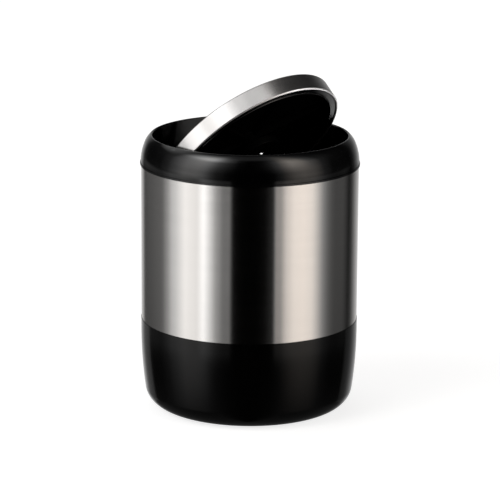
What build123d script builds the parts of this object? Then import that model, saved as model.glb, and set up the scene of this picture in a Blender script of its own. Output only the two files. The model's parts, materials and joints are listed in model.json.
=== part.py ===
from build123d import *
from math import acos, asin, cos, degrees, radians, sin
import os

# A small round swing-lid bin: a moulded tub in a steel sleeve, a lift-off collar,
# and a weighted lid that tips about a line across the mouth.
# Millimetres. The origin is on the floor under the middle of the bin, +Z is up,
# and the lid turns about a line parallel to X.

# Steel sleeve round the tub
sheet = 0.5                   # stainless sheet of the sleeve and of the lid's cap
sleeve_radius = 94.0          # outside of the steel
sleeve_bottom = 78.6          # height of the ledge that the sleeve stands on
sleeve_height = 137.0
sleeve_gap = 0.3              # between the steel and the tub's wall
seam_slit = 0.3               # between the sheet's ends, at the back
seam_lap = 8.0                # width of the lap welded behind the slit

# Tub
base_proud = 0.3              # the black base stands out this far past the steel
straight_band = 9.6           # straight stretch of the base under the ledge
bow_radius = 389.0            # slow curve of the base's side
corner_radius = 18.0          # round corner between side and foot
tub_wall = 2.0
floor_thickness = 2.4
floor_fillet = 14.0
foot_width = 13.0             # flat ring that carries the pads
foot_recess = 1.6             # how far the underside is raised inside that ring
rim_flange = 1.0              # thickness of the flange that traps the sleeve
flange_shy = 0.1              # the flange stays this far inside the steel's outside

# Pads under the foot ring
pad_count = 4
pad_radius = 5.0
pad_thickness = 1.8
pad_proud = 0.6               # how far the pads stand out of the foot
pad_clearance = 0.1
pad_edge = 0.4

# Collar
lip_proud = 1.0               # the lip's outside past the steel
lip_drop = 2.0                # how far the lip hangs over the sleeve
lip_clearance = 0.3
lip_step = 0.5                # the lip's bead past the shoulder above it
shoulder_radius = 42.0
shoulder_angle = 23.5
crown_radius = 17.3
roll_radius = 1.1             # round of the rim, from the crown into the mouth
collar_wall = 2.0
mouth_inset = 9.6             # from the steel's outside in to the mouth
throat_wall = 1.8
throat_depth = 34.0           # from the rim's top to the throat's lower edge
rib_count = 8
rib_thickness = 1.6
guide_depth = 8.5             # how far the ribs reach down inside the tub
guide_clearance = 0.3
guide_lead = 1.2              # slope at the foot of each rib

# Pivots
pivot_drop = 5.3              # from the rim's top down to the pivot line
pin_diameter = 3.0
pin_clearance = 0.05          # running fit of the pin in its bush, on the radius
pin_head_diameter = 6.0
pin_head_height = 1.2
bush_wall = 0.95
bush_flange_diameter = 8.0
bush_play = 0.5               # between the bush and the lid's skirt
boss_stand = 0.4              # flat face of the boss, past the throat's wall
boss_margin = 0.5             # the boss's radius past the flange that sits on it
bore_depth = 3.4
bush_end_gap = 0.2
pin_end_gap = 0.4
pin_chamfer = 0.3

# Lid
lid_gap = 2.7                 # round the lid, in the mouth
lid_above = 6.4               # edge of the lid's top face above the pivot line
lid_below = 10.2              # lower edge of its skirt below the pivot line
lid_edge = 1.2
hem_radius = 1.05             # the edge is rolled tight, so the hem is solid
pin_hole_clearance = 0.2
rest_tilt = -47.5             # turn about +X in the photographed pose

# Lid's moulded core
core_gap = 0.1
core_wall = 2.0
brim_width = 8.0              # from the lid's outside in to the hollow of its underside
bead_width = 1.4              # bead round the hollow's edge
bead_drop = 1.0
core_ribs = 6
core_rib_depth = 5.0
core_rib_thickness = 1.6
centre_boss_radius = 8.0
pin_boss_radius = 4.0
pin_boss_length = 2.2         # how far the pins' bosses stand inside the hollow

# Counterweight and its screw
weight_radius = 20.0
weight_thickness = 7.0
weight_chamfer = 0.8
weight_hole_clearance = 0.2
screw_diameter = 3.6
screw_bite = 10.0             # length of thread in the centre boss
screw_head_radius = 3.8
screw_head_height = 2.4

# Heights and radii that follow
ledge_radius = sleeve_radius + base_proud
sleeve_inner = sleeve_radius - sheet
sleeve_top = sleeve_bottom + sleeve_height
rim_height = sleeve_top + rim_flange
tub_outer = sleeve_inner - sleeve_gap
tub_inner = tub_outer - tub_wall
flange_radius = sleeve_radius - flange_shy
foot_height = pad_proud
floor_under = foot_height + foot_recess
floor_top = floor_under + floor_thickness
bow_top = sleeve_bottom - straight_band
inner_bow_radius = bow_radius - (ledge_radius - tub_inner)

mouth_radius = sleeve_radius - mouth_inset
collar_bottom = rim_height - lip_drop
lip_radius = sleeve_radius + lip_proud
lip_inner = sleeve_radius + lip_clearance
collar_radius = lip_radius - lip_step
shoulder_top = Vector(collar_radius - shoulder_radius * (1 - cos(radians(shoulder_angle))),
                      rim_height + shoulder_radius * sin(radians(shoulder_angle)))
crown_centre = Vector(shoulder_top.X - crown_radius * cos(radians(shoulder_angle)),
                      shoulder_top.Y - crown_radius * sin(radians(shoulder_angle)))
roll_orbit = crown_radius - roll_radius
roll_angle = degrees(acos((mouth_radius + roll_radius - crown_centre.X) / roll_orbit))
rim_top = crown_centre.Y + roll_orbit * sin(radians(roll_angle)) + roll_radius
throat_outer = mouth_radius + throat_wall
throat_bottom = rim_top - throat_depth
guide_radius = tub_inner - guide_clearance
guide_bottom = rim_height - guide_depth

lid_radius = mouth_radius - lid_gap
core_recess = lid_radius - brim_width
pivot_height = rim_top - pivot_drop
pin_radius = pin_diameter / 2
bush_bore = pin_radius + pin_clearance
bush_radius = bush_bore + bush_wall
boss_face = mouth_radius - boss_stand
boss_radius = bush_flange_diameter / 2 + boss_margin
bore_end = boss_face + bore_depth
bush_inner_end = lid_radius + bush_play
bush_outer_end = bore_end - bush_end_gap
pin_end = bore_end - pin_end_gap

hem_centre = -lid_below + hem_radius
skirt_inner = lid_radius - sheet
plate_top = lid_above - sheet - core_gap
plate_bottom = plate_top - core_wall
brim_bottom = hem_centre
brim_top = brim_bottom + core_wall
brim_radius = skirt_inner - core_gap
core_side = core_recess + core_wall
weight_top = -lid_below
weight_bottom = weight_top - weight_thickness
pin_seat = core_recess - pin_boss_length

# Straight steps that stand for each small or hidden round, to keep the facets few
rim_steps = 2                 # each side of the rim's top
lip_steps = 2
hem_steps = 4
edge_steps = 3
bead_steps = 2
bow_steps = 2
floor_steps = 4
dome_steps = 3

# Where the closed lid's own frame stands in the bin at rest
LID_PLACE = Pos(0, 0, pivot_height) * Rot(rest_tilt, 0, 0)
SIDES = {"left": -1, "right": 1}


def turned(*outline):
    """Solid made by turning a closed outline, drawn as radius and height, about Z."""
    return revolve(Plane.XZ * make_face(Curve() + outline), Axis.Z)


def ring(inner, outer, bottom, top):
    """Plain ring between two radii and two heights."""
    height = top - bottom
    middle = Pos(0, 0, (bottom + top) / 2)
    return middle * (Cylinder(outer, height) - Cylinder(inner, height))


def stepped(round_edge, steps):
    """Straight steps between points on a small round."""
    return Polyline([round_edge @ (step / steps) for step in range(steps + 1)])


def side_arcs(side_radius, bottom, bow, corner):
    """Corner arc from the flat at bottom, then the bow that ends upright at side_radius."""
    tilt = asin((bow_top - bottom - corner) / (bow - corner))
    flat_end = side_radius - corner * cos(tilt) - bow * (1 - cos(tilt))
    corner_arc = JernArc((flat_end, bottom), (1, 0), corner, 90 - degrees(tilt))
    bow_arc = JernArc(corner_arc @ 1, corner_arc % 1, bow, degrees(tilt))
    return corner_arc, bow_arc


def bar_along_x(radius, start, end):
    """Round bar along X between two distances from the bin's axis."""
    return Pos((start + end) / 2, 0, 0) * Rot(0, 90, 0) * Cylinder(radius, end - start)


# Sides of the tub from its flats up, outside and inside
outer_corner, outer_bow = side_arcs(ledge_radius, foot_height, bow_radius, corner_radius)
inner_corner, inner_bow = side_arcs(tub_inner, floor_top, inner_bow_radius, floor_fillet)
foot_outer = (outer_corner @ 0).X
foot_inner = foot_outer - foot_width
pad_circle = foot_outer - foot_width / 2


def base_tub():
    """Tub moulded in one with the visible base: foot ring, ledge, wall and rim flange."""
    outside = Polyline(outer_bow @ 1, (ledge_radius, sleeve_bottom),
                       (tub_outer, sleeve_bottom), (tub_outer, sleeve_top),
                       (flange_radius, sleeve_top), (flange_radius, rim_height),
                       (tub_inner, rim_height), inner_bow @ 1)
    underside = Polyline(inner_corner @ 0, (0, floor_top), (0, floor_under),
                         (foot_inner - foot_recess, floor_under), (foot_inner, foot_height),
                         outer_corner @ 0)
    tub = turned(outer_corner, outer_bow, outside, stepped(inner_bow, bow_steps),
                 stepped(inner_corner, floor_steps), underside)

    # Shallow groove down the back, where the sleeve's lap lies
    groove = ring(tub_outer - sheet, flange_radius, sleeve_bottom, sleeve_top)
    lane = Box(seam_lap + 4 * sleeve_gap, tub_outer, rim_height,
               align=(Align.CENTER, Align.MIN, Align.MIN))
    tub -= groove & lane

    pocket = Cylinder(pad_radius + pad_clearance, pad_thickness - pad_proud,
                      align=(Align.CENTER, Align.CENTER, Align.MIN))
    tub -= [place * pocket for place in pad_places(foot_height)]
    return tub


def pad_places(height):
    """Places of the pads round the foot ring, at a height."""
    return Pos(0, 0, height) * PolarLocations(pad_circle, pad_count, start_angle=45)


def foot_pads():
    """Rubber pads that the bin stands on, each in its pocket."""
    pad = Cylinder(pad_radius, pad_thickness, align=(Align.CENTER, Align.CENTER, Align.MIN))
    pad = chamfer(pad.edges().group_by(Axis.Z)[0], pad_edge)
    return Compound(children=[place * pad for place in pad_places(0)])


def steel_sleeve():
    """Rolled sheet round the tub, lapped and welded behind a slit at the back."""
    sleeve = ring(sleeve_inner, sleeve_radius, sleeve_bottom, sleeve_top)
    slit = Pos(0, sleeve_radius, sleeve_bottom) * Box(
        seam_slit, 4 * sheet, sleeve_height, align=(Align.CENTER, Align.CENTER, Align.MIN))
    lane = Box(seam_lap, sleeve_radius, sleeve_top, align=(Align.CENTER, Align.MIN, Align.MIN))
    lap = ring(sleeve_inner - sheet, sleeve_inner, sleeve_bottom, sleeve_top) & lane
    return sleeve - slit + lap


def collar_curve(inset, end_angle):
    """Shoulder and crown arcs of the collar, moved inwards by inset."""
    shoulder = JernArc((collar_radius - inset, rim_height), (0, 1),
                       shoulder_radius - inset, shoulder_angle)
    crown = JernArc(shoulder @ 1, shoulder % 1, crown_radius - inset,
                    end_angle - shoulder_angle)
    return [shoulder, crown]


def crown_angle_at(radius, inset):
    """Angle at which the crown arc, moved inwards by inset, comes in to a radius."""
    return degrees(acos((radius - crown_centre.X) / (crown_radius - inset)))


def collar():
    """Lift-off ring: shoulder shell, rolled rim, throat, guide ribs and pivot bosses."""
    outer = collar_curve(0, roll_angle)
    inner = collar_curve(collar_wall, crown_angle_at(throat_outer, collar_wall))
    roll = JernArc(outer[-1] @ 1, outer[-1] % 1, roll_radius, 90 - roll_angle)
    fall = JernArc(roll @ 1, roll % 1, roll_radius, 90)
    throat = Polyline(fall @ 1, (mouth_radius, throat_bottom), (throat_outer, throat_bottom),
                      inner[-1] @ 1)
    under = [stepped(arc, lip_steps) for arc in inner]
    seat = Polyline(inner[0] @ 0, (lip_inner, rim_height), (lip_inner, collar_bottom),
                    (lip_radius, collar_bottom), (lip_radius, rim_height - lip_step))
    bead = JernArc(seat @ 1, (0, 1), lip_step, 90)
    shell = turned(*outer, stepped(roll, rim_steps), stepped(fall, rim_steps), throat,
                   *under, seat, stepped(bead, lip_steps))

    # Guide ribs between throat and shell, with their feet inside the tub's rim
    throat_middle = mouth_radius + throat_wall / 2
    inset = collar_wall / 2
    rib_curve = collar_curve(inset, crown_angle_at(throat_middle, inset))
    foot = Polyline(rib_curve[-1] @ 1, (throat_middle, guide_bottom),
                    (guide_radius - guide_lead, guide_bottom),
                    (guide_radius, guide_bottom + guide_lead), (guide_radius, rim_height),
                    rib_curve[0] @ 0)
    rib_face = Plane.XZ * make_face(Curve() + [*rib_curve, foot])
    rib = extrude(rib_face, rib_thickness / 2, both=True)
    half_pitch = 180 / rib_count
    ribs = [Rot(0, 0, half_pitch + turn * 2 * half_pitch) * rib for turn in range(rib_count)]

    # Bosses for the bushes, kept inside the collar's outer surface
    envelope = turned(*outer, Polyline(outer[-1] @ 1, (0, rim_top), (0, rim_height),
                                       outer[0] @ 0))
    boss = Pos(0, 0, pivot_height) * bar_along_x(boss_radius, boss_face, collar_radius)
    bore = Pos(0, 0, pivot_height) * bar_along_x(bush_radius, boss_face - boss_stand, bore_end)
    ends = [Rot(0, 0, 0), Rot(0, 0, 180)]
    bosses = [end * boss & envelope for end in ends]
    return shell + ribs + bosses - [end * bore for end in ends]


def pivot_bush(side):
    """Flanged bush in a boss of the collar."""
    bush = bar_along_x(bush_radius, bush_inner_end, bush_outer_end)
    bush += bar_along_x(bush_flange_diameter / 2, bush_inner_end, boss_face)
    bush -= bar_along_x(bush_bore, bush_inner_end, bush_outer_end)
    return Pos(0, 0, pivot_height) * Rot(0, 0, 90 - 90 * side) * bush


def pivot_pin(side):
    """Headed pin, pushed outwards from the lid's hollow into its bush."""
    shank = bar_along_x(pin_radius, pin_seat, pin_end)
    shank = chamfer(shank.edges().group_by(Axis.X)[-1], pin_chamfer)
    head = bar_along_x(pin_head_diameter / 2, pin_seat - pin_head_height, pin_seat)
    head = chamfer(head.edges().group_by(Axis.X)[0], pin_chamfer)
    return LID_PLACE * Rot(0, 0, 90 - 90 * side) * (shank + head)


def lid_cap():
    """Pressed steel disc with a skirt whose edge is rolled inwards under the core."""
    top_edge = lid_radius - lid_edge
    skirt_top = lid_above - lid_edge
    hem_inner = lid_radius - 2 * hem_radius
    hem = CenterArc((lid_radius - hem_radius, hem_centre), hem_radius, 180, 180)
    edge = CenterArc((top_edge, skirt_top), lid_edge, 0, 90)
    inside = Polyline(edge @ 1, (0, lid_above), (0, lid_above - sheet),
                      (top_edge, lid_above - sheet), (skirt_inner, skirt_top),
                      (skirt_inner, hem_centre), (hem_inner, hem_centre))
    outline = [stepped(hem, hem_steps), Line(hem @ 1, edge @ 0),
               stepped(edge, edge_steps), inside]
    hole = bar_along_x(pin_radius + pin_hole_clearance, -2 * lid_radius, 2 * lid_radius)
    return LID_PLACE * (turned(*outline) - hole)


def lid_core():
    """Moulded hat inside the cap: plate, wall and brim, with ribs, a boss and pin bosses."""
    bead_height = brim_bottom - bead_drop + bead_width / 2
    bead_outer = core_recess + bead_width
    bead = CenterArc((core_recess + bead_width / 2, bead_height), bead_width / 2, 180, 180)
    hat = Polyline(bead @ 0, (core_recess, plate_bottom), (0, plate_bottom), (0, plate_top),
                   (core_side, plate_top), (core_side, brim_top), (brim_radius, brim_top),
                   (brim_radius, brim_bottom), (bead_outer, brim_bottom), bead @ 1)
    core = turned(hat, stepped(bead, bead_steps))

    rib = Box(core_recess + core_wall / 2, core_rib_thickness, core_rib_depth + core_wall / 2,
              align=(Align.MIN, Align.CENTER, Align.MAX))
    rib = Pos(0, 0, plate_bottom + core_wall / 2) * rib
    pitch = 360 / core_ribs
    core += [Rot(0, 0, pitch / 2 + turn * pitch) * rib for turn in range(core_ribs)]

    boss_height = plate_bottom - weight_top
    core += Pos(0, 0, weight_top + boss_height / 2) * Cylinder(centre_boss_radius, boss_height)
    core -= Pos(0, 0, weight_top + screw_bite / 2) * Cylinder(screw_diameter / 2, screw_bite)

    pin_boss = bar_along_x(pin_boss_radius, pin_seat, skirt_inner - 2 * core_gap)
    pin_bore = bar_along_x(pin_radius, pin_seat - pin_boss_length, lid_radius)
    ends = [Rot(0, 0, 0), Rot(0, 0, 180)]
    core += [end * pin_boss for end in ends]
    core -= [end * pin_bore for end in ends]
    return LID_PLACE * core


def counterweight():
    """Steel disc under the centre boss, which swings the lid shut."""
    disc = Pos(0, 0, (weight_top + weight_bottom) / 2) * Cylinder(weight_radius, weight_thickness)
    disc = chamfer(disc.edges().filter_by(GeomType.CIRCLE), weight_chamfer)
    hole = Pos(0, 0, weight_bottom) * Cylinder(screw_diameter / 2 + weight_hole_clearance,
                                               4 * weight_thickness)
    return LID_PLACE * (disc - hole)


def counterweight_screw():
    """Dome-headed screw that holds the counterweight to the centre boss."""
    tip = weight_top + screw_bite
    dome_radius = (screw_head_radius ** 2 + screw_head_height ** 2) / (2 * screw_head_height)
    dome_angle = degrees(asin(screw_head_radius / dome_radius))
    dome = CenterArc((0, weight_bottom - screw_head_height + dome_radius), dome_radius,
                     270, dome_angle)
    shank = Polyline(dome @ 1, (screw_diameter / 2, weight_bottom), (screw_diameter / 2, tip),
                     (0, tip), dome @ 0)
    return LID_PLACE * turned(stepped(dome, dome_steps), shank)


pieces = {
    "base_tub": base_tub(),
    "steel_sleeve": steel_sleeve(),
    "foot_pads": foot_pads(),
    "collar": collar(),
    "lid_cap": lid_cap(),
    "lid_core": lid_core(),
    "counterweight": counterweight(),
    "counterweight_screw": counterweight_screw(),
}
for name, side in SIDES.items():
    pieces[f"pivot_bush_{name}"] = pivot_bush(side)
    pieces[f"pivot_pin_{name}"] = pivot_pin(side)

os.makedirs("parts", exist_ok=True)
for name, piece in pieces.items():
    export_step(piece, f"parts/{name}.step")
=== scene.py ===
# %% [markdown]
# # A small swing-lid bin
# The bin holds about six litres. A black moulded tub carries everything, and its base shows under
# a wrap of brushed stainless steel. A glossy black collar caps the tub, and a steel-faced disc tips
# about two pins across the collar's mouth. The measured model gives the places and the main sizes.
# This notebook makes the pieces that show with finer curves, gives each one its finish, and lights
# them in a small studio.

# %% Load the measured model
import json
from math import acos, asin, cos, degrees, pi, radians, sin, sqrt

import bpy
from mathutils import Matrix, Quaternion, Vector


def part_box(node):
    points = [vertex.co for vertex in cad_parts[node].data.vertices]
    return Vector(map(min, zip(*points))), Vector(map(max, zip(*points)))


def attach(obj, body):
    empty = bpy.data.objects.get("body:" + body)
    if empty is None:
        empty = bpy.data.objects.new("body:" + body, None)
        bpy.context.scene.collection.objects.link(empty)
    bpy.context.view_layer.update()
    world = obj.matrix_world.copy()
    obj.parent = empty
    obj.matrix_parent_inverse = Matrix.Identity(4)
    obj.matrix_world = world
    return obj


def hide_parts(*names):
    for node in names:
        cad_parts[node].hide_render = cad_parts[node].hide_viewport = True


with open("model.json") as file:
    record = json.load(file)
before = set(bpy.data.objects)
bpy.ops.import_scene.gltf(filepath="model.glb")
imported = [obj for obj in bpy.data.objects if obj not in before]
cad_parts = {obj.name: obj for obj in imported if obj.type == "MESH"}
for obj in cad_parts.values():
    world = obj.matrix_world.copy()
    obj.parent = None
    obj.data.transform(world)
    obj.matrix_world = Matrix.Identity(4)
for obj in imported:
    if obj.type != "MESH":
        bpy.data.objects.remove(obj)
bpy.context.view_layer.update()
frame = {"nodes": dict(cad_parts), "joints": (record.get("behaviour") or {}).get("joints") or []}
nodes = frame["nodes"]
print("nodes:", ", ".join(sorted(nodes)))

# %% [markdown]
# ## Sizes that the pieces share
# A piece that replaces a measured one has to sit exactly where that one sat, so the main radii and
# heights are read from the model and not typed again. They could stay in metres, but moulded
# parts are drawn in millimetres, so outlines are written in millimetres and turned to metres once,
# when the mesh is made.

# %% Read radii and heights
MM = 0.001
tub_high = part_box("base_tub")[1] / MM
sleeve_low, sleeve_high = (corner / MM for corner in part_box("steel_sleeve"))
collar_low, collar_high = (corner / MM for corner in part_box("collar"))
lid_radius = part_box("lid_cap")[1].x / MM
steel_radius = sleeve_high.x
steel_sheet = 0.5
rim = tub_high.z
hinge = next(joint for joint in frame["joints"] if joint["name"] == "lid_swing")
pivot_height = hinge["pos_m"][2] / MM
lid_tilt = radians(-47.5)
print("steel radius", round(steel_radius, 2), "lid radius", round(lid_radius, 2),
      "pivot height", round(pivot_height, 2))

# %% [markdown]
# ## A lathe
# Nearly every piece of this bin is round about one axis. Such a piece could be a cylinder that is
# cut into rings and scaled ring by ring, but the steel and the gloss plastic show every bump in
# their reflections. A spun outline is better: one point is extruded along the section of the piece,
# arcs and all, and the Spin tool turns that line about the axis. Doubled points are then merged,
# before the normals are made to point outwards.

# %% Helpers for outlines and spinning
full_turn_steps = 192


def select_only(*pieces):
    """Deselect everything, then select these objects and make the first one active."""
    bpy.ops.object.select_all(action="DESELECT")
    for piece in pieces:
        piece.select_set(True)
    bpy.context.view_layer.objects.active = pieces[0]


def on_circle(centre, radius, angle):
    """Point on a circle, at an angle in degrees."""
    return (centre[0] + radius * cos(radians(angle)), centre[1] + radius * sin(radians(angle)))


def arc(centre, radius, start, end, steps):
    """Points along an arc from one angle to another, in degrees."""
    return [on_circle(centre, radius, start + (end - start) * step / steps)
            for step in range(steps + 1)]


def lathe(name, outline, start=0.0, sweep=2 * pi, steps=full_turn_steps):
    """Turn an outline of radius and height, in millimetres, about Z."""
    bpy.ops.object.select_all(action="DESELECT")
    bpy.ops.mesh.primitive_plane_add(size=MM)
    piece = bpy.context.object
    piece.name = piece.data.name = name
    bpy.ops.object.mode_set(mode="EDIT")
    bpy.ops.mesh.merge(type="CENTER")
    ray = Vector((cos(start), sin(start), 0))
    corners = [(ray * radius + Vector((0, 0, height))) * MM for radius, height in outline]
    bpy.ops.transform.translate(value=corners[0])
    for here, there in zip(corners, corners[1:]):
        bpy.ops.mesh.extrude_region_move(TRANSFORM_OT_translate={"value": there - here})
    bpy.ops.mesh.select_all(action="SELECT")
    bpy.ops.mesh.spin(steps=steps, angle=sweep, center=(0, 0, 0), axis=(0, 0, 1))
    bpy.ops.mesh.select_all(action="SELECT")
    bpy.ops.mesh.remove_doubles(threshold=0.002 * MM)
    bpy.ops.mesh.fill_holes(sides=0)
    bpy.ops.mesh.select_all(action="SELECT")
    bpy.ops.mesh.normals_make_consistent(inside=False)
    bpy.ops.object.mode_set(mode="OBJECT")
    return piece


print("a full turn has", full_turn_steps, "steps of", 360 / full_turn_steps, "degrees")

# %% [markdown]
# ## Finishing a mesh
# A moulded or pressed edge is never quite sharp, and the thin light along it makes a piece look
# solid. Each edge could be picked and rounded by hand, but a Bevel modifier that is limited by
# angle finds them all. Smooth shading then bends the light on the wide faces beside each bevel. A
# Weighted Normal modifier lets the large faces rule, so that they stay flat.

# %% Helpers for edges, joining and cutting
sharp = radians(35)


def apply_modifier(piece, kind, **settings):
    """Add a modifier with its settings and apply it."""
    select_only(piece)
    bpy.ops.object.modifier_add(type=kind)
    modifier = piece.modifiers[-1]
    for setting, value in settings.items():
        setattr(modifier, setting, value)
    bpy.ops.object.modifier_apply(modifier=modifier.name)


def shade(piece):
    """Shade the curves smooth and keep wide faces flat."""
    select_only(piece)
    bpy.ops.object.shade_smooth_by_angle(angle=sharp)
    apply_modifier(piece, "WEIGHTED_NORMAL", keep_sharp=True, weight=50)


def soften(piece, width, segments=2):
    """Round the sharp edges a little and shade the piece."""
    if width:
        apply_modifier(piece, "BEVEL", width=width * MM, segments=segments,
                       limit_method="ANGLE", angle_limit=sharp)
    shade(piece)
    print(piece.name, len(piece.data.polygons), "faces")


def join(*pieces):
    """Make several meshes one piece, named as the first."""
    select_only(*pieces)
    bpy.ops.object.join()
    return bpy.context.object


def cut(piece, tool):
    """Take a tool's shape out of a piece."""
    apply_modifier(piece, "BOOLEAN", operation="DIFFERENCE", solver="EXACT", object=tool)
    bpy.data.objects.remove(tool)


def stand_in(piece, node, body):
    """Let a finished piece stand for a measured node: hide the node and put the piece on its body.
    """
    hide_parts(node)
    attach(piece, body)


print("edges over", round(degrees(sharp)), "degrees count as sharp")

# %% [markdown]
# ## The tub
# On the real bin this is one black polypropylene moulding. Its lower part is the base that shows:
# a short straight band under the steel, a slow bow, a round corner and a flat foot ring. Above the
# ledge the same wall goes on up behind the steel and ends in a small flange that traps the sheet.
# A subdivided cylinder could give the soft corner, but the bow of 389 mm would be a guess, so the
# section is drawn with its true arcs. Each arc's centre follows from where it must end.

# %% Turn the tub
def side_arcs(side, foot, top, bow, corner):
    """Corner and bow of the tub's side, from the flat at foot up to the side's straight part."""
    tilt = asin((top - foot - corner) / (bow - corner))
    lean = degrees(tilt)
    flat_end = side - corner * cos(tilt) - bow * (1 - cos(tilt))
    return (arc((flat_end, foot + corner), corner, -90, -lean, 16)
            + arc((side - bow, top), bow, -lean, 0, 12)[1:])


ledge = tub_high.x
sleeve_bottom, sleeve_top = sleeve_low.z, sleeve_high.z
straight_band = 9.6
band_top = sleeve_bottom - straight_band
foot_height, foot_width, foot_recess = 0.6, 13.0, 1.6
underside = foot_height + foot_recess
tub_floor = underside + 2.4
wall = steel_radius - 2 * steel_sheet - 0.1  # clears the sheet and its welded lap
bore = steel_radius - 2.8
bow_radius = 389.0
outside = side_arcs(ledge, foot_height, band_top, bow_radius, 18.0)
inside = side_arcs(bore, tub_floor, band_top, bow_radius - (ledge - bore), 14.0)
foot_edge = outside[0][0]
ring_inner = foot_edge - foot_width
flange_edge, flange_bottom = ledge - 0.4, rim - 1.0
tub = lathe("tub_shell", [
    (0, underside), (ring_inner - foot_recess, underside), (ring_inner, foot_height), *outside,
    (ledge, sleeve_bottom), (wall, sleeve_bottom), (wall, flange_bottom),
    (flange_edge, flange_bottom), (flange_edge, rim), (bore, rim), *reversed(inside),
    (0, tub_floor)])
print("foot ring ends at", round(foot_edge, 2), "mm")

# %% [markdown]
# The four rubber pads are kept from the measured model. They sit in round pockets of the foot
# ring, so the same pockets are cut here. A pocket could be made by inset and extrude, but the ring
# is curved and its faces don't match a circle. A Boolean with a plain cylinder is exact.

# %% Cut the pads' pockets and round the edges
pad_circle = foot_edge - foot_width / 2
pocket_radius, pocket_top, tool_height = 5.1, 1.8, 4.0
for quarter in range(4):
    pad_x, pad_y = on_circle((0, 0), pad_circle, 45 + 90 * quarter)
    bpy.ops.object.select_all(action="DESELECT")
    bpy.ops.mesh.primitive_cylinder_add(
        vertices=48, radius=pocket_radius * MM, depth=tool_height * MM,
        location=(pad_x * MM, pad_y * MM, (pocket_top - tool_height / 2) * MM))
    cut(tub, bpy.context.object)
soften(tub, 0.15)
stand_in(tub, "base_tub", "bin")

# %% [markdown]
# ## The steel wrap
# The sleeve is half-millimetre stainless sheet, rolled round the tub. Its two ends meet at the
# back with a hair-thin slit, and a narrow strip is welded behind them. A closed tube would be
# simpler, but the slit is what such sleeves show from behind. So the section is spun through a
# little less than a full turn, its open ends are filled, and the strip is a second short spin.

# %% Roll the sleeve
def sheet_section(outer):
    """Closed section of the upright sheet, from the radius of its outside."""
    inner = outer - steel_sheet
    return [(outer, sleeve_bottom), (outer, sleeve_top), (inner, sleeve_top),
            (inner, sleeve_bottom), (outer, sleeve_bottom)]


slit = 0.3 / steel_radius
lap = 8.0 / steel_radius
wrap = lathe("steel_wrap", sheet_section(steel_radius), pi / 2 + slit / 2, 2 * pi - slit)
strip = lathe("lap_strip", sheet_section(steel_radius - steel_sheet), pi / 2 - lap / 2, lap, 6)
wrap = join(wrap, strip)
soften(wrap, 0.08)
stand_in(wrap, "steel_sleeve", "bin")
seam = max(vertex.co.y for vertex in wrap.data.vertices)
print("seam at the back, y =", round(seam / MM, 2), "mm")

# %% [markdown]
# ## The collar
# The collar is the glossy black ring that lifts off with the lid in it. From below it has a lip
# that hangs over the steel, a shoulder that leans in slowly, a crown that turns over quickly, and
# a rolled rim that falls into the straight throat. The eye reads its highlights, which run where
# one arc meets the next, so the section keeps every arc tangent to its neighbour. Where the rim's
# small arc leaves the crown's follows from the mouth's radius.

# %% Turn the collar
lip = collar_high.x
lip_bottom = rim - 2.0
lip_round = 0.5
lip_inner = lip - 0.7
mouth = steel_radius - 9.6
throat = mouth + 1.8
collar_wall = 2.0
shoulder_round, crown_round, roll_round = 42.0, 17.3, 1.1
shoulder_turn = 23.5
shoulder = (lip - lip_round - shoulder_round, rim)
crown = on_circle(shoulder, shoulder_round - crown_round, shoulder_turn)
roll_turn = degrees(acos((mouth + roll_round - crown[0]) / (crown_round - roll_round)))
roll = on_circle(crown, crown_round - roll_round, roll_turn)
shoulder_inner, crown_inner = shoulder_round - collar_wall, crown_round - collar_wall
inner_turn = degrees(acos((throat - crown[0]) / crown_inner))
collar = lathe("collar_ring", [
    (lip, lip_bottom), *arc((lip - lip_round, rim - lip_round), lip_round, 0, 90, 4),
    *arc(shoulder, shoulder_round, 0, shoulder_turn, 10)[1:],
    *arc(crown, crown_round, shoulder_turn, roll_turn, 12)[1:],
    *arc(roll, roll_round, roll_turn, 180, 12)[1:], (mouth, collar_low.z), (throat, collar_low.z),
    *arc(crown, crown_inner, inner_turn, shoulder_turn, 6),
    *arc(shoulder, shoulder_inner, shoulder_turn, 0, 6)[1:],
    (lip_inner, rim), (lip_inner, lip_bottom), (lip, lip_bottom)])
print("rim top", round(roll[1] + roll_round, 3), "measured", round(collar_high.z, 3))

# %% [markdown]
# The lid's pins run in bushes, one each side of the throat. Each bush goes through a bore, into a
# round boss behind the wall. The bores could be drawn in edit mode, but the throat is curved where
# they pass it, so one long cylinder is cut out across the mouth. A boss is a short cylinder with
# a thinner one cut out of it.

# %% Cut the bores and add the bosses
def bar(name, radius, start, end, height):
    """Cylinder along X between two distances from the middle."""
    bpy.ops.object.select_all(action="DESELECT")
    bpy.ops.mesh.primitive_cylinder_add(
        vertices=48, radius=radius * MM, depth=(end - start) * MM,
        location=((start + end) / 2 * MM, 0, height * MM), rotation=(0, pi / 2, 0))
    piece = bpy.context.object
    piece.name = piece.data.name = name
    bpy.ops.object.transform_apply(location=True, rotation=True, scale=True)
    return piece


def boss_pair(name, radius, ends, hole, hole_ends, height):
    """Two mirrored bosses along X, each with a hole; ends are distances from the middle."""
    pair = []
    for side in (-1, 1):
        boss = bar(name, radius, *sorted(side * end for end in ends), height)
        cut(boss, bar("hole_tool", hole, *sorted(side * end for end in hole_ends), height))
        pair.append(boss)
    return pair


bush_hole = 2.5
boss_face = mouth - 0.4
cut(collar, bar("bore_tool", bush_hole, -mouth - 3, mouth + 3, pivot_height))
bush_bosses = boss_pair("bush_boss", 4.5, (boss_face, mouth + 3.6),
                        bush_hole, (mouth - 1, mouth + 3), pivot_height)
print("boss faces at", round(boss_face, 2), "mm")

# %% [markdown]
# Eight ribs stand between the throat and the outer shell. Their lower ends reach inside the tub's
# rim and centre the collar when it is put back. They show when the collar is lifted off. One rib
# is a cube made long and thin: its upper outer edge is pulled down to follow the crown, and its
# lower outer edge is pulled in for an easy start. Eight turned copies of it go round the collar.

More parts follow.
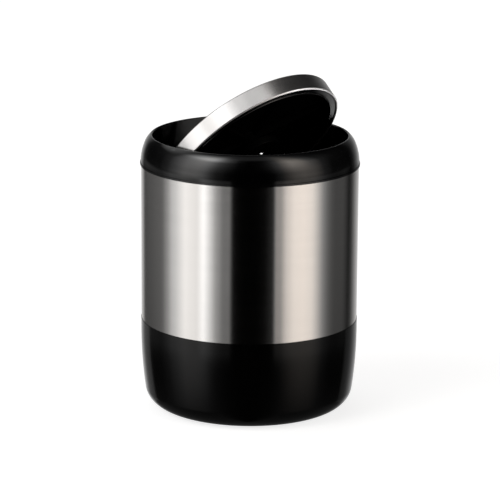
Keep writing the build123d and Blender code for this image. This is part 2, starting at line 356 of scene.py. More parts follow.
# %% Helpers for boxes and copies
def pull(piece, test, move):
    """Move the vertices whose place, in millimetres, passes a test."""
    select_only(piece)
    mesh = piece.data
    for element in (*mesh.polygons, *mesh.edges, *mesh.vertices):
        element.select = False
    for vertex in mesh.vertices:
        vertex.select = test(vertex.co / MM)
    bpy.ops.object.mode_set(mode="EDIT")
    bpy.ops.mesh.select_mode(type="VERT")
    bpy.ops.transform.translate(value=Vector(move) * MM)
    bpy.ops.object.mode_set(mode="OBJECT")


def box(name, low, high):
    """Box between two corners, in millimetres."""
    bpy.ops.object.select_all(action="DESELECT")
    bpy.ops.mesh.primitive_cube_add(size=1, location=(Vector(low) + Vector(high)) / 2 * MM,
                                    scale=(Vector(high) - Vector(low)) * MM)
    piece = bpy.context.object
    piece.name = piece.data.name = name
    bpy.ops.object.transform_apply(location=True, rotation=True, scale=True)
    return piece


def turned_copies(piece, angles):
    """Copies with their own meshes, turned about Z by angles in degrees; the piece goes."""
    copies = []
    for angle in angles:
        select_only(piece)
        bpy.ops.object.duplicate()
        bpy.context.object.rotation_euler.z = radians(angle)
        bpy.ops.object.transform_apply(location=True, rotation=True, scale=True)
        copies.append(bpy.context.object)
    bpy.data.objects.remove(piece)
    return copies


print("boxes and copies ready")

# %% Make one rib of the collar and copy it round
guide = bore - 0.3
guide_foot = rim - 8.5
rib_top = roll[1] - 1
rib_half = 0.8
wall_inside = rim + sqrt(shoulder_inner ** 2 - (guide - shoulder[0]) ** 2)
rib_sunk = 0.8
guide_rib = box("guide_rib", (mouth + 0.9, -rib_half, guide_foot), (guide, rib_half, rib_top))
pull(guide_rib, lambda spot: spot.x > guide - 0.1 and spot.z > rim,
     (0, 0, wall_inside + rib_sunk - rib_top))
pull(guide_rib, lambda spot: spot.x > guide - 0.1 and spot.z < rim, (-1.2, 0, 0))
apply_modifier(guide_rib, "BEVEL", width=0.2 * MM, segments=1)
guide_ribs = turned_copies(guide_rib, [22.5 + 45 * turn for turn in range(8)])
soften(collar, 0.12)
collar = join(collar, *bush_bosses, *guide_ribs)
shade(collar)
stand_in(collar, "collar", "top")
print(len(guide_ribs), "ribs joined to the collar")

# %% [markdown]
# ## The lid's steel cap
# The cap is pressed from the same sheet as the wrap: a flat disc, a small round edge, a straight
# skirt, and a hem that is rolled inwards under the black core. The hem is the bright line along
# the skirt's lower edge, so it gets its true curl of 1.05 mm. A bevelled cylinder would leave it
# square. The cap is made level about the pivot line and only then tipped into its place.

# %% Press the cap
lid_top, skirt_end = 6.4, -10.2
edge_round, hem_round = 1.3, 1.05
hem = skirt_end + hem_round
hem_centre = (lid_radius - hem_round, hem)
edge_centre = (lid_radius - edge_round, lid_top - edge_round)
skirt_inner = lid_radius - steel_sheet
cap = lathe("lid_disc", [
    (0, lid_top), *arc(edge_centre, edge_round, 90, 0, 8),
    *arc(hem_centre, hem_round, 0, -180, 14),
    *arc(hem_centre, hem_round - steel_sheet, -180, 0, 10),
    *arc(edge_centre, edge_round - steel_sheet, 0, 90, 6), (0, lid_top - steel_sheet)])
cut(cap, bar("pin_hole_tool", 1.7, -lid_radius - 3, lid_radius + 3, 0))
soften(cap, 0)


def tip(piece):
    """Put a piece that was made level about the pivot line in its tipped place."""
    select_only(piece)
    piece.rotation_euler.x = lid_tilt
    piece.location.z = pivot_height * MM
    bpy.ops.object.transform_apply(location=True, rotation=True, scale=True)


tip(cap)
stand_in(cap, "lid_cap", "lid")
print("highest point", round(max(vertex.co.z for vertex in cap.data.vertices) / MM, 2))

# %% [markdown]
# ## The lid's moulded core
# Seen from the front the raised lid shows its underside: a flat black brim that the hem grips, a
# thin bead round the opening, and the deep hollow of the moulding. The hollow has six stiffening
# ribs, a boss in the middle for the weight's screw, and two small bosses for the pins. The core is
# spun like the rest, with a soft corner at the bottom of its hollow, and the ribs are copies of one
# thin box. The boss and the ribs are sunk a little into the hollow's bottom, so no gap shows.

# %% Mould the core
core_wall, plate_round, hollow_round, bead_round = 2.0, 1.5, 2.0, 0.7
recess = lid_radius - 8.0
core_side = recess + core_wall
brim_top = hem + core_wall
brim_edge = skirt_inner - 0.1
plate = lid_top - 0.6
ceiling = plate - core_wall
bead_centre = (recess + bead_round, hem - 0.3)
core = lathe("lid_underside", [
    (0, plate), *arc((core_side - plate_round, plate - plate_round), plate_round, 90, 0, 5),
    (core_side, brim_top), (brim_edge, brim_top), (brim_edge, hem),
    (recess + 2 * bead_round, hem), *arc(bead_centre, bead_round, 0, -180, 10),
    *arc((recess - hollow_round, ceiling - hollow_round), hollow_round, 0, 90, 6), (0, ceiling)])
soften(core, 0.12)

# %% Add the middle boss and the ribs
sunk = 0.4
screw_radius, boss_radius, boss_root = 1.8, 8.0, 1.5
weight_boss = lathe("weight_boss", [
    (screw_radius, skirt_end), (boss_radius, skirt_end),
    *arc((boss_radius + boss_root, ceiling - boss_root), boss_root, 180, 90, 4),
    (boss_radius + boss_root, ceiling + sunk), (screw_radius, ceiling + sunk),
    (screw_radius, skirt_end)], steps=64)
soften(weight_boss, 0.12)
stiffener = box("stiffener", (boss_radius - sunk, -rib_half, ceiling - 5),
                (recess + sunk, rib_half, ceiling + sunk))
apply_modifier(stiffener, "BEVEL", width=0.25 * MM, segments=2)
stiffeners = turned_copies(stiffener, [30 + 60 * turn for turn in range(6)])
print(len(stiffeners), "ribs in the hollow")

# %% [markdown]
# Each pin is pushed outwards through a boss in the hollow's wall, and its head rests on the boss's
# flat end. The bosses are short tubes like those of the collar.

# %% Add the pins' bosses and tip the core
pin_bosses = boss_pair("pin_boss", 4.0, (recess - 2.2, skirt_inner - 0.2),
                       1.5, (recess - 3, skirt_inner + 1), 0)
core = join(core, weight_boss, *stiffeners, *pin_bosses)
shade(core)
tip(core)
stand_in(core, "lid_core", "lid")
print("core has", len(core.data.polygons), "faces")

# %% [markdown]
# ## Weight and screw
# A steel disc under the middle of the lid swings it level again. One domed screw with a cross
# recess holds it, and its head is the bright dot that the photograph shows over the collar's rim.
# The recess could be left to a bump in the finish, but a bump can't give its dark corners, so a
# cross of two wedges is cut into the dome.

# %% Turn the weight
weight_bottom = skirt_end - 7.0
weight_hole, weight_radius = 2.0, 20.0
weight = lathe("lid_weight", [
    (weight_hole, skirt_end), (weight_radius, skirt_end), (weight_radius, weight_bottom),
    (weight_hole, weight_bottom), (weight_hole, skirt_end)], steps=96)
soften(weight, 0.7, 3)
tip(weight)
stand_in(weight, "counterweight", "lid")

# %% Turn the screw
head_radius, head_height = 3.8, 2.4
screw_end = skirt_end + 10
dome = (head_radius ** 2 + head_height ** 2) / (2 * head_height)
dome_edge = degrees(asin(head_radius / dome))
screw = lathe("lid_screw", [
    *arc((0, weight_bottom - head_height + dome), dome, -90, -90 + dome_edge, 10),
    (screw_radius, weight_bottom), (screw_radius, screw_end), (0, screw_end)], steps=64)
print("the head's dome has a radius of", round(dome, 2), "mm")

# %% Cut the cross recess
wedge_half, wedge_thin, wedge_taper = 1.9, 0.38, 0.9
wedge_middle = weight_bottom - 2
wedge = box("recess_tool", (-wedge_half, -wedge_thin, wedge_middle - 1),
            (wedge_half, wedge_thin, wedge_middle + 1))
pull(wedge, lambda spot: spot.z > wedge_middle and spot.x > 0, (-wedge_taper, 0, 0))
pull(wedge, lambda spot: spot.z > wedge_middle and spot.x < 0, (wedge_taper, 0, 0))
for wedge_turned in turned_copies(wedge, (25, 115)):
    cut(screw, wedge_turned)
soften(screw, 0)
tip(screw)
stand_in(screw, "counterweight_screw", "lid")

# %% [markdown]
# ## Writing finishes as sums
# Every finish below is a small network of nodes. Such a network could be placed by hand in the
# shader editor, but sums are easier to read as sums. A `Wire` stands for one output of a node, and
# adding, taking away, multiplying or dividing wires adds Math nodes. Everything else comes from
# one method that takes a node's type, its settings and the values of its sockets.

# %% A wire
class Wire:
    """One output of a node, on which sums can be written."""

    def __init__(self, finish, node, output=0):
        self.finish = finish
        self.node = node
        self.socket = node.outputs[output]

    def other(self, output):
        """Another output of the same node."""
        return Wire(self.finish, self.node, output)

    def maths(self, operation, first, second=0.0):
        """Math node on two values or wires."""
        return self.finish.node("ShaderNodeMath", {"operation": operation},
                                {0: first, 1: second})

    def __add__(self, value):
        return self.maths("ADD", self, value)

    def __mul__(self, value):
        return self.maths("MULTIPLY", self, value)

    def __sub__(self, value):
        return self.maths("SUBTRACT", self, value)

    def __rsub__(self, value):
        return self.maths("SUBTRACT", value, self)

    def __truediv__(self, value):
        return self.maths("DIVIDE", self, value)

    __radd__ = __add__
    __rmul__ = __mul__


print("wires add, take away, multiply and divide")

# %% A finish
class Finish:
    """Node tree of a material or of the world."""

    def __init__(self, name, owner=None):
        self.owner = owner or bpy.data.materials.new(name)
        self.owner.use_nodes = True
        self.tree = self.owner.node_tree
        self.tree.nodes.clear()

    def node(self, kind, settings=None, values=None, output=0):
        """Add a node: its settings first, then the values or wires of its sockets."""
        node = self.tree.nodes.new(kind)
        for setting, value in (settings or {}).items():
            if setting == "stops":
                self.set_stops(node.color_ramp, value)
            else:
                setattr(node, setting, value)
        for socket, value in (values or {}).items():
            if isinstance(value, Wire):
                self.tree.links.new(value.socket, node.inputs[socket])
            else:
                node.inputs[socket].default_value = value
        return Wire(self, node, output) if node.outputs else node

    def set_stops(self, ramp, stops):
        """Give a ramp its stops, each a place and a grey or a colour."""
        while len(ramp.elements) > 1:
            ramp.elements.remove(ramp.elements[-1])
        for index, (place, value) in enumerate(stops):
            element = ramp.elements[0] if index == 0 else ramp.elements.new(place)
            element.position = place
            colour = value if isinstance(value, tuple) else (value,) * 3
            element.color = (*colour, 1)

    def between(self, dark, light, share):
        """Colour between two others, by a share from 0 to 1."""
        return self.node("ShaderNodeMix", {"data_type": "RGBA"},
                         {0: share, 6: (*dark, 1), 7: (*light, 1)}, 2)

    def surface(self, shader):
        """Join the last shader to the material's output."""
        self.node("ShaderNodeOutputMaterial", None, {"Surface": shader})
        return self.owner


def dress(material, *pieces):
    """Give pieces or measured nodes one finish."""
    for piece in pieces:
        piece.data.materials.clear()
        piece.data.materials.append(material)


print("finishes ready")

# %% [markdown]
# ## Brushed stainless on the wrap
# The sheet was brushed before it was rolled, so its fine lines run round the bin. They spread
# every reflection up and down but not sideways, which is why the photograph shows upright bands
# without top or bottom. An even rough metal would blur both ways, so the shader is anisotropic,
# turned a quarter. The lines themselves come from stretched noise: a coordinate that goes round
# the cylinder, squeezed, against the height, spread out. Its seam is at the back, at the slit.

# %% Finish for the wrap
def streaks(finish, along, across, length, pitch, settings):
    """Noise drawn out along the brushing; length and pitch of the streaks in millimetres."""
    drawn = finish.node("ShaderNodeCombineXYZ", None, {0: along / length, 1: across / pitch})
    return finish.node("ShaderNodeTexNoise", {"noise_dimensions": "2D"},
                       {"Vector": drawn, "Scale": 1.0, **settings})


def brushed(finish, along, across, light, dark, rough, spread, turn):
    """Brushed metal whose lines run along one coordinate; both coordinates in millimetres."""
    fine = streaks(finish, along, across, length=40, pitch=0.45,
                   settings={"Detail": 3.0, "Roughness": 0.65})
    broad = streaks(finish, along, across, length=160, pitch=5, settings={"Detail": 2.0})
    grain = fine * 0.75 + broad * 0.25
    relief = finish.node("ShaderNodeBump", None,
                         {"Height": fine, "Strength": 0.06, "Distance": 0.00005})
    return finish.node("ShaderNodeBsdfPrincipled", None, {
        "Base Color": finish.between(dark, light, grain), "Metallic": 1.0,
        "Roughness": rough + grain * 0.1 - 0.05,
        "Anisotropic": spread, "Anisotropic Rotation": turn, "Normal": relief})


wrap_steel = Finish("brushed_steel_wrap")
wrap_place = wrap_steel.node("ShaderNodeTexCoord", output="Object")
wrap_x = wrap_steel.node("ShaderNodeSeparateXYZ", None, {0: wrap_place})
wrap_y, wrap_z = wrap_x.other(1), wrap_x.other(2)
round_wrap = wrap_x.maths("ARCTAN2", wrap_x, 0 - wrap_y) * steel_radius
dress(wrap_steel.surface(brushed(
    wrap_steel, round_wrap, wrap_z / MM, light=(0.84, 0.82, 0.8), dark=(0.74, 0.72, 0.7),
    rough=0.17, spread=1.0, turn=0.25)), wrap)
print("wrap brushed round the bin")

# %% [markdown]
# ## Brushed stainless on the cap
# The cap is pressed from a brushed blank, so the lines run straight across its face. The skirt is
# brushed again round its edge. The hem keeps the dull skin that rolling leaves, and the face is
# brushed more coarsely, so both are rougher than the skirt. Three materials could do this, with
# their borders along the mesh's edges. One finish that works in the lid's own level frame is freer:
# a Mapping node undoes the tilt about the pivot, the distance from the middle tells the skirt from
# the face, and the height tells the hem.

# %% Finish for the cap
cap_steel = Finish("brushed_steel_cap")
cap_place = cap_steel.node("ShaderNodeTexCoord", output="Object")
level = cap_steel.node("ShaderNodeMapping", {"vector_type": "TEXTURE"}, {
    "Vector": cap_place, "Location": (0, 0, pivot_height * MM), "Rotation": (lid_tilt, 0, 0)})
x = cap_steel.node("ShaderNodeSeparateXYZ", None, {0: level})
y, z = x.other(1), x.other(2)
cap_reach = x.maths("SQRT", x * x + y * y) / MM
on_skirt = x.maths("GREATER_THAN", cap_reach, lid_radius - 1.2)
on_hem = x.maths("LESS_THAN", z / MM, hem + 0.2)
on_face = x.maths("GREATER_THAN", z / MM, lid_top - 0.2)
round_cap = x.maths("ARCTAN2", x, 0 - y) * lid_radius
along = round_cap * on_skirt + (x / MM) * (1 - on_skirt)
across = (z / MM) * on_skirt + (y / MM) * (1 - on_skirt)
dress(cap_steel.surface(brushed(
    cap_steel, along, across, light=(0.82, 0.805, 0.795), dark=(0.74, 0.725, 0.715),
    rough=on_hem * 0.22 + on_face * 0.2 + 0.25, spread=0.0, turn=0.0)), cap)
print("cap brushed across its face")

# %% [markdown]
# ## Black plastics and rubber
# The collar is polished in the mould and nearly a mirror, with the faint waviness that a thick
# moulding keeps. The tub's base is duller, because its mould was only stoned. Plain black with one
# roughness would look like paint: here two sizes of noise vary the roughness and raise a very low
# relief. The base colour is almost black, because what the eye sees on such plastic is nearly all
# reflection. On the collar a clear coat adds the polish. It fades in above the lip, whose edge
# stays darker in the photograph than the shoulder over it.

# %% Finish for the mouldings
def moulded(name, colour, rough, vary, relief, wave, gloss, polished_above=None):
    """Moulded plastic; wave is the size of its unevenness, and polish starts at a height, in mm."""
    finish = Finish(name)
    place = finish.node("ShaderNodeTexCoord", output="Object")
    swell = finish.node("ShaderNodeTexNoise", None,
                        {"Vector": place, "Scale": 1 / (wave * MM), "Detail": 2.0})
    grit = finish.node("ShaderNodeTexNoise", None,
                       {"Vector": place, "Scale": 1 / (0.35 * MM), "Detail": 2.0})
    raised = finish.node("ShaderNodeBump", None, {
        "Height": swell * 0.7 + grit * 0.3, "Strength": relief, "Distance": 0.0002})
    dark, light = ([part * share for part in colour] for share in (0.8, 1.2))
    sockets = {"Base Color": finish.between(dark, light, grit),
               "Roughness": swell * vary + (rough - vary / 2),
               "Specular IOR Level": gloss, "Normal": raised}
    if polished_above is not None:
        height = finish.node("ShaderNodeSeparateXYZ", None, {0: place}, 2) / MM
        sockets["Coat Weight"] = finish.node("ShaderNodeMapRange", None, {
            "Value": height, "From Min": polished_above, "From Max": polished_above + 4.5})
        sockets["Coat Roughness"] = rough
        sockets["Coat IOR"] = 1.75
    return finish.surface(finish.node("ShaderNodeBsdfPrincipled", None, sockets))


gloss_black = moulded("gloss_black_collar", (0.001, 0.001, 0.0013), rough=0.1, vary=0.04,
                      relief=0.03, wave=9.0, gloss=0.36, polished_above=rim + 1.6)
base_black = moulded("stoned_black_base", (0.0012, 0.0012, 0.0012), rough=0.14, vary=0.04,
                     relief=0.04, wave=6.0, gloss=0.25)
rubber_black = moulded("rubber_pads", (0.02, 0.02, 0.02), rough=0.7, vary=0.15, relief=0.25,
                       wave=1.5, gloss=0.3)
acetal_black = moulded("acetal_bushes", (0.015, 0.015, 0.016), rough=0.42, vary=0.08,
                       relief=0.05, wave=3.0, gloss=0.4)
dress(gloss_black, collar)
dress(base_black, tub)
dress(rubber_black, nodes["foot_pads"])
dress(acetal_black, nodes["pivot_bush_left"], nodes["pivot_bush_right"])
print("collar, tub, pads and bushes finished")

# %% [markdown]
# The lid's core is one moulding whose mould has three surfaces: satin on the brim, a polished bead
# round the opening, and the rough hollow. The hollow's black is also darker and less shiny than the
# brim's: that is painted shade, for the shade deep inside the lid's recess. The borders run along
# rings of faces here, so three materials do it: each face gets one by its distance from the lid's
# middle, which is measured with the lid's tilt undone.

# %% Finish the core in three ways
core_black = moulded("satin_black_core", (0.002, 0.002, 0.0022), rough=0.28, vary=0.06,
                     relief=0.06, wave=5.0, gloss=0.5)
bead_black = moulded("polished_black_bead", (0.002, 0.002, 0.0022), rough=0.16, vary=0.04,
                     relief=0.03, wave=5.0, gloss=1.0)
# Painted shade: the hollow's black is darker and reflects less than the brim's, for the shade
# inside the recess.
hollow_painted_shade_black = moulded("rough_black_hollow_painted_shade", (0.0008, 0.0008, 0.0008), rough=0.6, vary=0.1,
                       relief=0.1, wave=3.0, gloss=0.12)
dress(core_black, core)
core.data.materials.append(bead_black)
core.data.materials.append(hollow_painted_shade_black)
lid_level = (Matrix.Translation((0, 0, pivot_height * MM))
             @ Matrix.Rotation(lid_tilt, 4, "X")).inverted()
# Faces nearer the middle than the second reach get the hollow's painted shade.
bead_outside, painted_shade_reach = recess + 1.6, recess - 0.3
for face in core.data.polygons:
    face_reach = (lid_level @ face.center).xy.length / MM
    face.material_index = (face_reach < bead_outside) + (face_reach < painted_shade_reach)
print("faces on the bead:", sum(face.material_index == 1 for face in core.data.polygons))

# %% [markdown]
# ## Bright and painted steel
# Pins and screw are bright zinc-plated steel. They are so small that an even mirror would pass
# from afar, but close up it would look unreal, so noise gives the plating its faint blotches. The
# weight is dipped in black paint, which leaves a soft, slightly pebbled skin. The helper for
# mouldings makes that too, with more relief.

# %% Finish for pins, screw and weight
plated = Finish("bright_plated_steel")
plated_place = plated.node("ShaderNodeTexCoord", output="Object")
marks = plated.node("ShaderNodeTexNoise", None,
                    {"Vector": plated_place, "Scale": 900.0, "Detail": 3.0})
plated_steel = plated.surface(plated.node("ShaderNodeBsdfPrincipled", None, {
    "Base Color": plated.between((0.7, 0.7, 0.71), (0.82, 0.82, 0.81), marks),
    "Metallic": 1.0, "Roughness": marks * 0.12 + 0.1}))
dress(plated_steel, screw, nodes["pivot_pin_left"], nodes["pivot_pin_right"])
painted_black = moulded("painted_black_weight", (0.0015, 0.0015, 0.0015), rough=0.5, vary=0.1,
                        relief=0.2, wave=2.0, gloss=0.15)
dress(painted_black, weight)
print("metal small parts finished")

# %% [markdown]
# ## The camera
# The photograph was taken from a little above the rim, with a long lens: the ellipses of the rim,
# the lip and the base fit a camera 2.5 m away at 14 degrees. Its small roll is in the photograph
# too. A camera could be set by eye, but these numbers put the ledge and the lip within half a
# pixel.

# %% Place the camera
azimuth, elevation, camera_roll = radians(-42.8), radians(14.08), radians(0.376)
sight = Vector((sin(azimuth) * cos(elevation), -cos(azimuth) * cos(elevation), sin(elevation)))
looked_at, distance = Vector((0, 0, 0.1372)), 2.495
bpy.ops.object.camera_add(location=looked_at + sight * distance)
camera = bpy.context.object
camera.rotation_mode = "QUATERNION"
camera.rotation_quaternion = ((-sight).to_track_quat("-Z", "Y")
                              @ Quaternion((0, 0, 1), camera_roll))
camera.data.lens = 206.5
camera.data.sensor_width = 36
camera.data.shift_x = 0.001
bpy.context.scene.camera = camera
print("camera at", [round(part, 3) for part in camera.location])

# %% [markdown]
# ## The studio
# Steel shows its surroundings, so the studio matters as much as the metal. The photograph's bands
# tell where the light stood: wide soft boxes on the left, narrower and warmer ones on the right, a
# white sheet behind, and darkness round the camera. Lamps on stands could give this, but they
# would have to reach round the bin, and their edges would be hard. Here the world itself carries
# the soft boxes. Each light is the product of two ramps, because a soft box has a width and a
# height: one ramp goes round the horizon, and one from straight down to straight up. Both are
# written in degrees, and bearings count from the camera to its right. The lights are then added up.

# %% Directions and ramps of the world
bpy.context.scene.world = bpy.data.worlds.new("studio")
studio = Finish("studio", bpy.context.scene.world)
direction = studio.node("ShaderNodeTexCoord", output="Generated")
east = studio.node("ShaderNodeSeparateXYZ", None, {0: direction})
north, up = east.other(1), east.other(2)
turns = east.maths("ARCTAN2", east, 0 - north) / (2 * pi) + (0.5 - azimuth / (2 * pi))
round_part = east.maths("FRACT", turns)
upward_part = up * 0.5 + 0.5


def glow_of(bearings, elevations):
    """Light that changes round the horizon and with the height: the product of two ramps."""
    round_stops = [((angle + 180) / 360, value) for angle, value in bearings]
    upward_stops = [((sin(radians(angle)) + 1) / 2, value) for angle, value in elevations]
    return studio.node("ShaderNodeMix", {"data_type": "RGBA", "blend_type": "MULTIPLY"}, {
        0: 1.0, 6: studio.node("ShaderNodeValToRGB", {"stops": round_stops}, {"Fac": round_part}),
        7: studio.node("ShaderNodeValToRGB", {"stops": upward_stops}, {"Fac": upward_part})}, 2)


print("studio turned by", round(degrees(azimuth), 1), "degrees, to face the camera")

# %% [markdown]
# The low boxes stand on both sides and make the broad light bands of the steel. Their light is
# uneven from bottom to top, which the brushed sheet hides, because it spreads light up and down.
# The base and the collar show it as it is. The camera looks down by 14 degrees, so an upright wall
# mirrors what lies 14 degrees below the horizon. The panel is a narrow strip at that height, and
# it draws the fine steps at the borders of the bands.

# %% Low boxes and panel
low_boxes = glow_of(
    [(-180, 0.0), (-132, 0.01), (-108, 0.03), (-96, 0.12), (-84, 0.46), (-72, (0.98, 0.965, 0.95)),
     (-58, (1.0, 0.985, 0.97)), (-50, 0.78), (-42, 0.29), (-36, 0.1), (-24, 0.015), (-14, 0.0),
     (16, 0.0), (25, 0.01), (34, 0.1), (41, (0.34, 0.31, 0.285)), (48, (0.6, 0.55, 0.505)),
     (58, (0.76, 0.69, 0.63)), (70, (0.58, 0.535, 0.495)), (84, 0.1), (96, 0.02), (120, 0.01),
     (150, 0.0)],
    [(-90, 0.0), (-38, 0.0), (-30, 0.05), (-24, 0.16), (-18, 0.25), (-12, 0.29), (-4, 0.21),
     (4, 0.165), (12, 0.185), (20, 0.15), (28, 0.08), (36, 0.0)])
panel = glow_of(
    [(-150, 0.0), (-135, 0.022), (-117, 0.032), (-104, 0.04), (-90, 0.14), (-80, 0.115),
     (-70, 0.06), (-62, 0.02), (-57, 0.0), (-54, 0.12), (-49, 0.32), (-42, 0.28), (-36, 0.16),
     (-28, 0.078), (-23, 0.092), (-20.6, 0.094), (-19.2, 0.02), (-17, 0.0), (18, 0.0), (25, 0.004),
     (27.2, 0.11), (28.3, (0.152, 0.143, 0.136)), (32.5, (0.133, 0.125, 0.118)),
     (39, (0.245, 0.229, 0.217)), (48, (0.21, 0.196, 0.185)), (57, (0.15, 0.14, 0.132)),
     (68, (0.17, 0.16, 0.152)), (78, 0.105), (90, 0.035), (102, 0.018), (117, 0.018), (130, 0.0)],
    [(-90, 0.0), (-17.5, 0.0), (-15, 1.0), (-9, 1.0), (-5, 0.0), (90, 0.0)])
print("low boxes and panel hung")

# %% [markdown]
# Two boxes hang higher, left and right. The collar's shoulder turns upwards and shows each as a
# soft patch, and the left one also lights the lid's skirt. The scrim is a faint strip above the
# camera, for the collar's crown.

# %% High boxes and scrim
high_left = glow_of(
    [(-180, 0.0), (-120, 0.02), (-96, 0.08), (-84, 0.34), (-72, 0.66), (-60, (0.93, 0.915, 0.9)),
     (-54, (0.98, 0.965, 0.95)), (-47, 0.84), (-41, 0.55), (-36, 0.3), (-30, 0.16), (-24, 0.08),
     (-14, 0.01), (0, 0.0)],
    [(-90, 0.0), (10, 0.0), (18, 0.08), (24, 0.17), (30, 0.29), (36, 0.45), (44, 0.75), (50, 0.68),
     (56, 0.47), (62, 0.2), (67, 0.08), (72, 0.03), (90, 0.0)])
high_right = glow_of(
    [(-180, 0.0), (0, 0.0), (14, 0.01), (23, 0.05), (32, 0.2), (39, (0.55, 0.505, 0.46)),
     (48, (0.95, 0.87, 0.79)), (60, (0.72, 0.66, 0.6)), (71, 0.2), (84, 0.04), (108, 0.01),
     (140, 0.0)],
    [(-90, 0.0), (10, 0.0), (18, 0.1), (24, 0.22), (30, 0.32), (36, 0.38), (44, 0.31), (50, 0.22),
     (58, 0.11), (68, 0.04), (76, 0.0)])
scrim = glow_of(
    [(-180, 0.0), (-60, 0.0), (-34, 0.016), (-19, 0.02), (8, 0.02), (52, 0.024), (64, 0.016),
     (78, 0.008), (111, 0.0)],
    [(-90, 0.0), (50, 0.0), (59, 1.0), (75, 1.0), (80, 0.5), (90, 0.3)])
print("high boxes and scrim hung")

# %% [markdown]
# Behind the bin hangs a white sheet, which shows at the very edges of the steel. The ceiling light
# is behind too, and higher. It serves the views from behind, where the photograph gives no help:
# without it the lid's steel face would be black. The ground is a faint glow from below, weaker in
# front, such as a table gives back.

# %% Sheet, ceiling light and ground
backdrop = glow_of(
    [(-180, 1.0), (-168, 0.85), (-156, 0.5), (-148, 0.06), (-138, 0.01), (-126, 0.0), (130, 0.0),
     (138, 0.05), (144, 0.18), (156, 0.5), (168, 0.8), (180, 1.0)],
    [(-90, 0.0), (-40, 0.01), (-30, 0.07), (-24, 0.22), (-16, 0.19), (-6, 0.13), (8, 0.06),
     (18, 0.03), (30, 0.006), (45, 0.0)])
ceiling_light = glow_of(
    [(-180, 1.0), (-150, 1.0), (-120, 0.6), (-98, 0.0), (146, 0.0), (158, 0.55), (168, 0.9),
     (180, 1.0)],
    [(-90, 0.0), (28, 0.0), (36, 0.11), (50, 0.15), (70, 0.13), (82, 0.03), (90, 0.0)])
ground = glow_of(
    [(-180, 1.0), (-36, 1.0), (-24, 0.4), (-10, 0.05), (10, 0.05), (24, 0.4), (36, 1.0)],
    [(-90, 0.027), (-60, 0.025), (-36, 0.022), (-30, 0.014), (-22, 0.0), (90, 0.0)])
print("sheet, ceiling light and ground set")

# %% [markdown]
# The camera is to see plain white behind the bin, and not the boxes. So the sum of the lights goes
# to all rays but the camera's own, which get an even white.

# %% Add up the lights
light_sum = low_boxes
for glow in (panel, high_left, high_right, scrim, ceiling_light, backdrop, ground):
    light_sum = studio.node(
        "ShaderNodeMix", {"data_type": "RGBA", "blend_type": "ADD", "clamp_result": False},
        {0: 1.0, 6: light_sum, 7: glow}, 2)
lamps = studio.node("ShaderNodeBackground", None, {"Color": light_sum, "Strength": 4.4})
white = studio.node("ShaderNodeBackground", None, {"Color": (1, 1, 1, 1), "Strength": 1.0})
for_camera = studio.node("ShaderNodeLightPath", output="Is Camera Ray")
studio.node("ShaderNodeOutputWorld", None, {
    "Surface": studio.node("ShaderNodeMixShader", None, {0: for_camera, 1: lamps, 2: white})})
bpy.context.scene.view_settings.view_transform = "Standard"
print("studio lit with", len(studio.tree.nodes), "nodes")

# %% [markdown]
# ## The floor
# The bin stands on a white table that runs out of sight. To the camera the table has to be as
# white as the background, yet it keeps the soft shadow under the foot. A table that only glows
# could be that white, but it would show no shadow. So it is a plain matt white, with a little glow
# added for the camera alone. Reflections don't see the table, because the world's ground takes
# its place there and is darker in front of the bin, as in the photograph.

# %% Lay the floor
bpy.ops.object.select_all(action="DESELECT")
bpy.ops.mesh.primitive_plane_add(size=8)
floor = bpy.context.object
floor.name = floor.data.name = "studio_floor"
matt = Finish("white_table")
cloud = matt.node("ShaderNodeTexNoise", None, {"Scale": 3.0, "Detail": 2.0})
paper = matt.node("ShaderNodeBsdfDiffuse", None, {
    "Color": matt.between((0.8, 0.8, 0.8), (0.82, 0.82, 0.82), cloud)})
camera_glow = matt.node("ShaderNodeEmission", None, {
    "Strength": matt.node("ShaderNodeLightPath", output="Is Camera Ray") * 0.8})
dress(matt.surface(matt.node("ShaderNodeAddShader", None, {0: paper, 1: camera_glow})), floor)
floor.visible_glossy = False
print("floor laid")

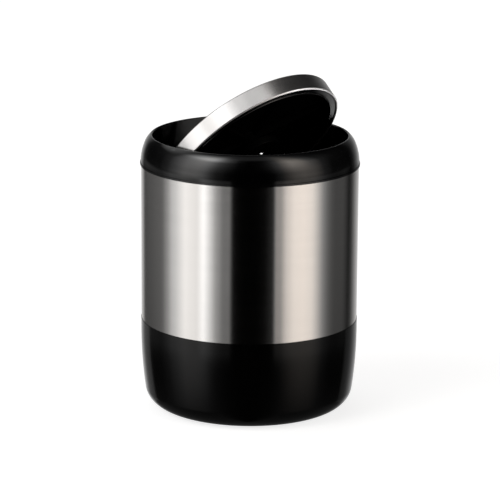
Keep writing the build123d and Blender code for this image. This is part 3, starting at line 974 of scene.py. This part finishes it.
# %% [markdown]
# ## Cards for single pieces
# A product photographer holds small cards near an object, to light one edge of it. The lid needs
# such help most: its skirt, its hem and its face mirror different parts of the room, and a box that
# is hung there for them would show on the collar and the steel too. So each card glows for the
# pieces that its light linking names, and for no others. The camera doesn't see a card, and it
# casts no shadow. Its shader is transparent with a glow added, so light from behind it still gets
# through. A card stands a metre from the lid, and its strength sets how bright its reflection is.
# Only the card for the core's brim is near, beside the tipped lid. The last two cards put a faint
# light along the sides of the tub's base.

# %% Make the cards
lid_middle = Vector((0, 0, pivot_height))


def glow_card(name, pieces, place, width, height, strength):
    """Glowing card that faces the lid and lights only some pieces; sizes in millimetres."""
    bpy.ops.object.select_all(action="DESELECT")
    bpy.ops.mesh.primitive_plane_add(size=MM)
    card = bpy.context.object
    card.name = card.data.name = name
    card.scale = (width, height, 1)
    card.rotation_mode = "QUATERNION"
    card.rotation_quaternion = (place - lid_middle).to_track_quat("Z", "Y")
    card.location = place * MM
    bpy.ops.object.transform_apply(location=True, rotation=True, scale=True)
    shine = Finish(name + "_shine")
    dress(shine.surface(shine.node("ShaderNodeAddShader", None, {
        0: shine.node("ShaderNodeBsdfTransparent"),
        1: shine.node("ShaderNodeEmission", None, {"Strength": strength})})), card)
    card.visible_camera = card.visible_diffuse = card.visible_shadow = False
    lit = bpy.data.collections.new(name + "_lights")
    for piece in pieces:
        lit.objects.link(piece)
    card.light_linking.receiver_collection = lit
    return card


def toward(bearing, raised, distance=1000.0):
    """Place at a distance from the lid, in a direction counted as the world's are."""
    turn, rise = azimuth + radians(bearing), radians(raised)
    ray = Vector((sin(turn) * cos(rise), -cos(turn) * cos(rise), sin(rise)))
    return lid_middle + ray * distance


cards = [glow_card("hem_card", [cap], toward(106, -36), 500, 480, 3.6),
         glow_card("line_card", [cap], toward(78, 14), 420, 760, 4.0),
         glow_card("brim_card", [core], Vector((165, 24, 155)), 90, 80, 1.2),
         glow_card("glint_card", [screw], toward(70, 19), 1900, 300, 3.0),
         glow_card("top_card", [cap], toward(10, 67), 640, 260, 0.74),
         glow_card("shoulder_card", [cap], toward(-24, 54), 300, 260, 0.5),
         glow_card("left_card", [cap], toward(-71, 8), 620, 360, 0.75),
         glow_card("left_foot_card", [tub], toward(-150, -26), 740, 500, 0.22),
         glow_card("right_foot_card", [tub], toward(140, -26), 640, 500, 0.1)]
print(len(cards), "cards held up")
